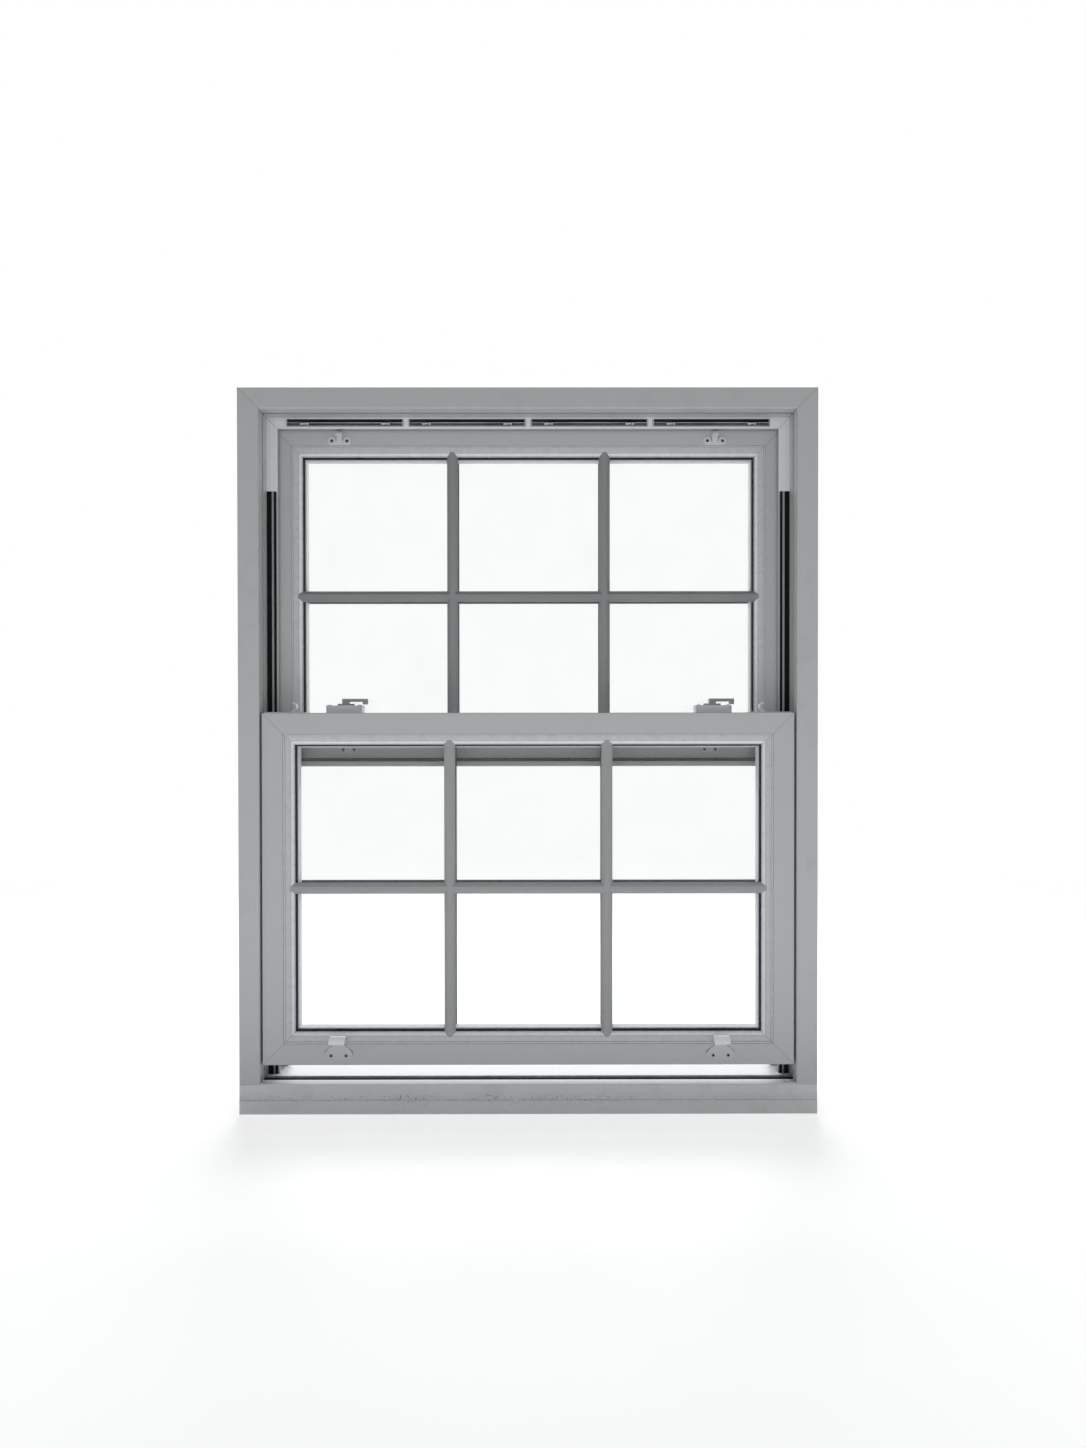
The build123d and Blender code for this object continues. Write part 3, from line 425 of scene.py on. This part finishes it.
def vent_plastic():
    """The vents' dark blades, whose front edges catch the light, in a pale surround."""
    s = Shader("vent_plastic")
    dust = s.noise(90.0, 5.0, 0.65, (0.35, 1.0, 1.0))
    dark = s.blend(s.ramp(dust, 0.35, 0.7), grey(0.028), grey(0.075, DUST))
    upper = s.band(s.z, VENT_MIDDLE - 1.0 * MM, VENT_MIDDLE + 0.8 * MM, 0.2 * MM)
    lower = s.band(s.z, VENT_MIDDLE - 4.6 * MM, VENT_MIDDLE - 3.2 * MM, 0.2 * MM)
    edge = s.math("MAXIMUM", upper, lower)
    front = s.ramp(s.y, -14.2 * MM, -13.6 * MM, 1.0, 0.0)
    lit = s.times(edge, front, s.ramp(s.noise(35.0, 3.0, 0.6), 0.3, 0.6, 0.5, 1.0))
    colour = s.blend(lit, dark, grey(0.66, COOL))
    along = s.math("MODULO", s.math("ABSOLUTE", s.x), VENT_PITCH)
    off = s.math("ABSOLUTE", s.math("SUBTRACT", along, VENT_PITCH / 2))
    rise = s.math("ABSOLUTE", s.math("SUBTRACT", s.z, VENT_MIDDLE))
    rim = s.math("MAXIMUM", s.ramp(off, VENT_HALF - 2.3 * MM, VENT_HALF - 2.1 * MM),
                 s.ramp(rise, 5.4 * MM, 5.5 * MM))
    ahead = s.ramp(s.y, VENT_FRONT + 0.3 * MM, VENT_FRONT + 0.9 * MM, 1.0, 0.0)
    colour = s.blend(s.math("MULTIPLY", rim, ahead), colour, WHITE)
    s.set(Base_Color=colour, Roughness=s.ramp(dust, 0.3, 0.7, 0.4, 0.6))
    s.bump(s.noise(260.0, 4.0, 0.6), 0.35, 0.0003)
    return s.material


assign(vent_plastic(), *(f"vent_{n + 1}" for n in range(VENTS)))


REFLECTION = 0.4           # share of the real reflection, so that black gaskets behind stay black
FILM = 0.014               # the most that the film of dust covers


def clear_glass():
    """A pane that light and shadow rays pass, with reflections and a faint film of dust."""
    s = Shader("clear_glass")
    out = s.tree.nodes["Material Output"]
    s.tree.nodes.remove(s.bsdf)
    through = s.add("ShaderNodeBsdfTransparent")
    through.inputs["Color"].default_value = (0.984, 0.993, 0.990, 1.0)
    shine = s.add("ShaderNodeBsdfGlossy")
    shine.inputs["Roughness"].default_value = 0.02
    shine.inputs["Color"].default_value = (1.0, 1.0, 1.0, 1.0)
    fresnel = s.add("ShaderNodeFresnel")
    fresnel.inputs["IOR"].default_value = 1.5
    mix = s.add("ShaderNodeMixShader")
    s.link(s.math("MULTIPLY", fresnel.outputs[0], REFLECTION, clamp=True), mix.inputs[0])
    s.link(through.outputs[0], mix.inputs[1])
    s.link(shine.outputs[0], mix.inputs[2])
    film = s.add("ShaderNodeBsdfDiffuse")
    film.inputs["Color"].default_value = (0.8, 0.8, 0.78, 1.0)
    dust = s.add("ShaderNodeMixShader")
    s.link(s.ramp(s.noise(14.0, 5.0, 0.65), 0.45, 0.8, 0.0, FILM), dust.inputs[0])
    s.link(mix.outputs[0], dust.inputs[1])
    s.link(film.outputs[0], dust.inputs[2])
    s.link(dust.outputs[0], out.inputs["Surface"])
    return s.material


glass = clear_glass()
for name in nodes:
    if "pane" in name:
        assign(glass, name)

# Softened edges of the cast and pressed fittings, in millimetres
BEVELS = {"lock_base": 0.8, "lock_lever": 0.7, "sash_lift": 0.5, "finger_pull": 0.5}
for start, width in BEVELS.items():
    for name, thing in nodes.items():
        if name.startswith(start):
            soften = thing.modifiers.new("soften", "BEVEL")
            soften.width = width * MM
            soften.segments = 2
            soften.limit_method = "ANGLE"
            soften.angle_limit = math.radians(40)
            soften.harden_normals = False


def piece(name, points, faces, materials, body, sharp=30.0, tags=None):
    """A new piece in the row frame that rides on a body, smooth apart from its sharp edges."""
    mesh = bpy.data.meshes.new(name)
    mesh.from_pydata(points, [], faces)
    for material in materials:
        mesh.materials.append(material)
    if tags:
        mesh.polygons.foreach_set("material_index", tags)
    work = bmesh.new()
    work.from_mesh(mesh)
    bmesh.ops.recalc_face_normals(work, faces=work.faces)
    work.to_mesh(mesh)
    work.free()
    for face in mesh.polygons:
        face.use_smooth = True
    mesh.set_sharp_from_angle(angle=math.radians(sharp))
    thing = bpy.data.objects.new(name, mesh)
    bpy.context.scene.collection.objects.link(thing)
    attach(thing, body)
    return thing


# Screws, in millimetres: a low domed head with a sunk cross, and a ringed shank below it.
# The head's rings are radius and height, and the shank's a low and a high radius.
HEAD = [(3.3, 0.0), (3.3, 0.55), (3.0, 0.95), (2.5, 1.2), (2.25, 1.15), (2.2, 0.8)]
QUARTER = [(1, 1), (1, 4), (-1, 4)]
CROSS = QUARTER + [(-y, x) for x, y in QUARTER] + [(-x, -y) for x, y in QUARTER]
CROSS += [(y, -x) for x, y in QUARTER]
CROSS_TOP, CROSS_FOOT = (0.42, 0.8), (0.3, 0.1)       # scale and height of the recess
SHANK = (1.25, 1.66)
THREAD = 0.6
POINT = 7.0                # how far a screw reaches below what it grips
TURN = 20                  # sides of its rings


def screw(gripped):
    """Points, faces and face materials of a screw whose head sits on height 0, in millimetres."""
    low = -gripped - POINT
    rings = [(0.35, low), (1.2, low + 1.6)]
    thread = low + 2.0
    while thread < -0.9:
        rings += [(SHANK[0], thread), (SHANK[1], thread + THREAD / 2)]
        thread += THREAD
    rings += [(1.6, -0.2), (1.6, 0.0)] + HEAD
    angles = [2 * math.pi * n / TURN for n in range(TURN)]
    points = [(r * math.cos(a), r * math.sin(a), z) for r, z in rings for a in angles]
    faces = [tuple(range(TURN))]
    for ring in range(len(rings) - 1):
        for n in range(TURN):
            a, b = ring * TURN + n, ring * TURN + (n + 1) % TURN
            faces.append((a, b, b + TURN, a + TURN))
    tags = [0] * (len(faces) - TURN) + [1] * TURN
    rim = [Vector(p) for p in points[-TURN:]]
    sunk, foot = (
        [Vector((scale * x, scale * y, height)) for x, y in CROSS]
        for scale, height in (CROSS_TOP, CROSS_FOOT)
    )
    first = len(points) - TURN
    points += [tuple(p) for p in sunk + foot]
    count = len(CROSS)
    faces += [tuple(first + n for n in face) for face in tessellate_polygon([rim, sunk])]
    upper = first + TURN
    for n in range(count):
        a, b = upper + n, upper + (n + 1) % count
        faces.append((a, b, b + count, a + count))
    faces.append(tuple(range(upper + count, upper + 2 * count)))
    return points, faces, tags + [1] * (len(faces) - len(tags))


UP = Matrix.Identity(4)
OUT = Matrix.Rotation(math.radians(90), 4, "X")


def screw_set(name, body, groups):
    """One piece with all of a sash's screws, in place of its screws with few faces.

    Each group is the places along X, half the spread of a pair, depth, height, direction and
    grip, in millimetres.
    """
    points, faces, tags = [], [], []
    for places, half, depth, height, turn, gripped in groups:
        for place in places:
            for side in (-half, half):
                move = Matrix.Translation((place + side, depth, height)) @ turn
                spin = Matrix.Rotation(place + 3 * side, 4, "Z")
                new_points, new_faces, new_tags = screw(gripped)
                base = len(points)
                points += [tuple((move @ spin @ Vector(p)) * MM) for p in new_points]
                faces += [tuple(base + n for n in face) for face in new_faces]
                tags += new_tags
    materials = [screw_head, screw_dark]
    made = piece(name + "_detailed", points, faces, materials, body, tags=tags)
    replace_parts(made, name)


screw_head = plain("painted_screw", grey(0.62, COOL), 0.3)
# The heads' sunk centres and cross recesses are near black: partly dark steel, partly painted shade
# in the recess.
screw_dark = plain("screw_recess", grey(0.035), 0.5)
screw_set("lower_screws", "lower_sash", [
    (LOCKS, 24.0, -39.5, 654.5, UP, 12.0),
    (LIFTS, 12.0, -66.1, LIFT_HOLES, OUT, 2.6),
])
screw_set("upper_screws", "upper_sash", [
    (LOCKS, 9.0, -5.5, 581.7, OUT, 2.0),
    (PULLS, 12.5, -5.9, 1091.6, OUT, 2.4),
])


def twisted_rods(name, body):
    """Flat strips twisted into spirals, in place of a pair of plain balance rods."""
    low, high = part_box(name)
    depth = (low.y + high.y) / 2
    wide = (4.5 * MM, 1.2 * MM)     # half the strip's width and thickness
    across = high.x - wide[0]
    pitch, step = 70 * MM, 2 * MM
    count = round((high.z - low.z) / step)
    points, faces = [], []
    for side in (-1, 1):
        base = len(points)
        for n in range(count + 1):
            rise = (high.z - low.z) * n / count
            turn = Matrix.Rotation(side * 2 * math.pi * rise / pitch, 4, "Z")
            for x, y in ((1, 1), (-1, 1), (-1, -1), (1, -1)):
                corner = turn @ Vector((x * wide[0], y * wide[1], 0))
                points.append((side * across + corner.x, depth + corner.y, low.z + rise))
        faces.append(tuple(range(base, base + 4)))
        faces.append(tuple(range(base + 4 * count, base + 4 * count + 4)))
        for n in range(count):
            for k in range(4):
                a, b = base + 4 * n + k, base + 4 * n + (k + 1) % 4
                faces.append((a, b, b + 4, a + 4))
    made = piece(name + "_twisted", points, faces, [steel], body, 50.0)
    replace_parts(made, name)


twisted_rods("lower_balance_rods", "lower_carriage")
twisted_rods("upper_balance_rods", "upper_sash")


BOX_FACES = ((0, 1, 3, 2), (4, 5, 7, 6), (0, 1, 5, 4), (2, 3, 7, 6), (0, 2, 6, 4), (1, 3, 7, 5))


def boxes(name, limits, material, body):
    """One piece made of boxes, each given as its limits along X, Y and Z."""
    points, faces = [], []
    for x, y, z in limits:
        base = len(points)
        points += [(a, b, c) for a in x for b in y for c in z]
        faces += [tuple(base + n for n in face) for face in BOX_FACES]
    return piece(name, points, faces, [material], body)


# The jambs' trims reach further down than the CAD ones, and the piles start below them.
# Sections are in millimetres: how far in from the frame's side, and depth behind its face.
TRIM_END = 1006.4
TRIM = [(33, 50.6), (33, 54), (50.5, 54), (50.5, 51.6), (40.4, 51.6), (40.4, 50.6)]
RIB_FACE = 54                                        # depth of the parting rib under the piles
PILES = ((33.0, 7.4, 3.6, 6), (44.4, 3.6, 3.0, 3))   # start, width, height, columns of tufts
PILE_ROWS = 640
TUFT = 0.45                                          # the most that a tuft stands back


def jamb_point(sign, inset, depth, height):
    """A point on the right jamb (sign 1) or the left one (-1), from millimetres."""
    return (sign * (HALF_WIDTH - inset) * MM, FACE + depth * MM, height * MM)


def sill_top(depth):
    """Height of the sill's sloping top at a depth, in millimetres."""
    return 48 - 12 / 92 * (depth - 43)


for side, sign in (("left", -1), ("right", 1)):
    points = [jamb_point(sign, u, d, z) for u, d in TRIM for z in (TRIM_END, HEIGHT - u)]
    count = len(TRIM)
    faces = [tuple(2 * n for n in range(count)), tuple(2 * n + 1 for n in range(count))]
    for n in range(count):
        m = (n + 1) % count
        faces.append((2 * n, 2 * m, 2 * m + 1, 2 * n + 1))
    name = "jamb_trim_" + side
    trim = piece(name + "_full", points, faces, [trim_white], "frame")
    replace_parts(trim, name)


def pile_strips():
    """Brush piles on the parting ribs: strips whose faces are combed into rows of uneven tufts."""
    random.seed(5)
    points, faces = [], []
    rows = PILE_ROWS
    for sign in (-1, 1):
        for start, width, proud, columns in PILES:
            base = len(points)
            for row in range(rows + 1):
                for column in range(columns + 1):
                    bare = row in (0, rows) or column in (0, columns)
                    back = 0.5 if bare else random.uniform(0.0, TUFT) + 0.25 * (row % 2)
                    depth = RIB_FACE - proud + back
                    foot = sill_top(depth)
                    height = foot + (TRIM_END - foot) * row / rows
                    inset = start + width * column / columns
                    points.append(jamb_point(sign, inset, depth, height))
            wide = columns + 1
            for row in range(rows):
                for column in range(columns):
                    a = base + row * wide + column
                    faces.append((a, a + 1, a + 1 + wide, a + wide))
            back = len(points)
            for inset in (start, start + width):
                for height in (sill_top(RIB_FACE), TRIM_END):
                    points.append(jamb_point(sign, inset, RIB_FACE, height))
            low = [base + column for column in range(wide)]
            high = [base + rows * wide + column for column in range(wide)]
            left = [base + row * wide for row in range(rows + 1)]
            right = [base + row * wide + columns for row in range(rows + 1)]
            faces.append(tuple(low + [back + 2, back]))
            faces.append(tuple(high + [back + 3, back + 1]))
            faces.append(tuple(left + [back + 1, back]))
            faces.append(tuple(right + [back + 3, back + 2]))
            faces.append((back, back + 1, back + 3, back + 2))
    return piece("parting_piles_combed", points, faces, [pile], "frame", 20.0)


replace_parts(pile_strips(), "parting_piles")

# The vents' fine ribs at their left ends, and the pale clips that hold their blades
RIBS, RIB_START, RIB_PITCH, RIB_WIDTH = 9, 4.0, 3.1, 0.8
CLIPS = ((5, -3.2), (4, -2.7), (3, -3.2))             # width and foot of each clip in a group
CLIP_PITCH = 5.4
vent_grey = plain("vent_rib", grey(0.16, (1.0, 0.98, 0.95)), 0.5)
clip_white = plain("vent_clip", grey(0.90, COOL), 0.3)
ribs, clips = [], []
for number in range(VENTS):
    middle = (number - (VENTS - 1) / 2) * VENT_PITCH
    for n in range(RIBS):
        x = middle - VENT_HALF + (RIB_START + RIB_PITCH * n) * MM
        top = (3.7 if n % 2 else 2.2) * MM
        ribs.append(((x, x + RIB_WIDTH * MM), (VENT_FRONT + 0.8 * MM, VENT_FRONT + 2 * MM),
                     (VENT_MIDDLE - 4.6 * MM, VENT_MIDDLE + top)))
    for start in (-VENT_HALF + 23 * MM, VENT_HALF - 37 * MM):
        for n, (width, low) in enumerate(CLIPS):
            x = middle + start + n * CLIP_PITCH * MM
            clips.append(((x, x + width * MM), (VENT_FRONT + 0.5 * MM, VENT_FRONT + 1.7 * MM),
                          (VENT_MIDDLE + low * MM, VENT_MIDDLE - 0.6 * MM)))
boxes("vent_ribs", ribs, vent_grey, "frame")
boxes("vent_clips", clips, clip_white, "frame")

# Floor and backdrop
scene = bpy.context.scene


def seen_directly(tree):
    """1 for the rays that see the backdrop itself: the camera's, and those by way of glass."""
    rays = tree.nodes.new("ShaderNodeLightPath")
    value = rays.outputs["Is Camera Ray"]
    for other in ("Is Glossy Ray", "Is Transmission Ray"):
        most = tree.nodes.new("ShaderNodeMath")
        most.operation = "MAXIMUM"
        tree.links.new(value, most.inputs[0])
        tree.links.new(rays.outputs[other], most.inputs[1])
        value = most.outputs[0]
    return value


FLOOR_LIFT = 0.50          # light that the camera sees in the floor besides what falls on it
FLOOR_FADE = (0.2, 3.0)    # metres from the middle over which the floor turns white


def floor_material():
    """A pale matt floor that keeps the object's shadow, and turns white further out."""
    s = Shader("floor_pale")
    s.tree.nodes.remove(s.bsdf)
    out = s.tree.nodes["Material Output"]
    seen = seen_directly(s.tree)
    reach = s.add("ShaderNodeVectorMath", operation="LENGTH")
    s.link(s.place, reach.inputs[0])
    matt = s.add("ShaderNodeBsdfDiffuse")
    matt.inputs["Color"].default_value = grey(0.94)
    lift = s.add("ShaderNodeEmission")
    lift.inputs["Color"].default_value = grey(1.0)
    s.link(s.math("MULTIPLY", seen, FLOOR_LIFT), lift.inputs["Strength"])
    near = s.add("ShaderNodeAddShader")
    s.link(matt.outputs[0], near.inputs[0])
    s.link(lift.outputs[0], near.inputs[1])
    far = s.add("ShaderNodeEmission")
    far.inputs["Color"].default_value = grey(1.0)
    far.inputs["Strength"].default_value = 1.0
    mix = s.add("ShaderNodeMixShader")
    fade = s.ramp(reach.outputs["Value"], *FLOOR_FADE)
    s.link(s.math("MULTIPLY", seen, fade), mix.inputs[0])
    s.link(near.outputs[0], mix.inputs[1])
    s.link(far.outputs[0], mix.inputs[2])
    s.link(mix.outputs[0], out.inputs["Surface"])
    return s.material


FLOOR_HALF = 14.0
floor_mesh = bpy.data.meshes.new("floor")
corners = [(x * FLOOR_HALF, y * FLOOR_HALF, 0) for x, y in ((-1, -1), (1, -1), (1, 1), (-1, 1))]
floor_mesh.from_pydata(corners, [], [(0, 1, 2, 3)])
floor_mesh.materials.append(floor_material())
floor = bpy.data.objects.new("floor", floor_mesh)
scene.collection.objects.link(floor)

# World: dim light from all around, and white where it is seen
world = bpy.data.worlds.new("studio")
scene.world = world
world.use_nodes = True
tree = world.node_tree
ground = tree.nodes["Background"]
ground.inputs["Color"].default_value = (0.95, 0.97, 1.0, 1.0)
ground.inputs["Strength"].default_value = 0.17
white = tree.nodes.new("ShaderNodeBackground")
white.inputs["Color"].default_value = (1, 1, 1, 1)
white.inputs["Strength"].default_value = 1.0
mix = tree.nodes.new("ShaderNodeMixShader")
tree.links.new(seen_directly(tree), mix.inputs[0])
tree.links.new(ground.outputs[0], mix.inputs[1])
tree.links.new(white.outputs[0], mix.inputs[2])
tree.links.new(mix.outputs[0], tree.nodes["World Output"].inputs["Surface"])


def lamp(name, place, aim, size, power, mirrored=True, colour=(1, 1, 1)):
    """A soft rectangular lamp that the camera doesn't see itself."""
    light = bpy.data.lights.new(name, "AREA")
    light.shape = "RECTANGLE"
    light.size, light.size_y = size
    light.energy = power
    light.color = colour
    thing = bpy.data.objects.new(name, light)
    thing.location = place
    thing.rotation_euler = (Vector(aim) - Vector(place)).to_track_quat("-Z", "Y").to_euler()
    thing.visible_camera = False
    thing.visible_glossy = mirrored
    scene.collection.objects.link(thing)


DAY = (0.97, 0.985, 1.0)
WINDOW = (0.0, -0.05, 0.6)
REVEAL = (1.6, 1.1)
lamp("sky", (0.0, 2.8, 2.6), (0.0, 0.0, 0.3), (3.5, 2.0), 50, False, DAY)
lamp("daylight", (0.0, 1.4, 1.2), (0.0, 0.02, 0.04), (1.8, 0.6), 24, False, DAY)
lamp("reveal_left", (-2.4, -0.75, 1.0), WINDOW, REVEAL, 6)
lamp("reveal_right", (2.4, -0.75, 1.0), WINDOW, REVEAL, 6)
lamp("above", (0.0, -1.2, 3.0), WINDOW, (2.4, 1.4), 2.5)
lamp("room", (0.0, -3.6, 1.1), (0.0, 0.0, 0.6), (3.0, 1.4), 18, False)
lamp("board", (0.0, -0.8, 0.02), (0.0, -0.799, 1.0), (2.2, 1.0), 6, False)

# Camera, fitted to the photo: it looks level at the window, with a slight tilt, roll and turn
TILT, ROLL, PAN = -0.00879, 0.00095, -0.00212
camera_data = bpy.data.cameras.new("camera")
camera = bpy.data.objects.new("camera", camera_data)
scene.collection.objects.link(camera)
scene.camera = camera
camera_data.sensor_width = 36
camera_data.lens = 24.96
camera_data.clip_start = 0.05
camera_data.clip_end = 60
camera.location = (0.02038, -1.66925, 0.63852)
camera.rotation_euler = (math.radians(90) + TILT, ROLL, PAN)

scene.view_settings.view_transform = "Standard"
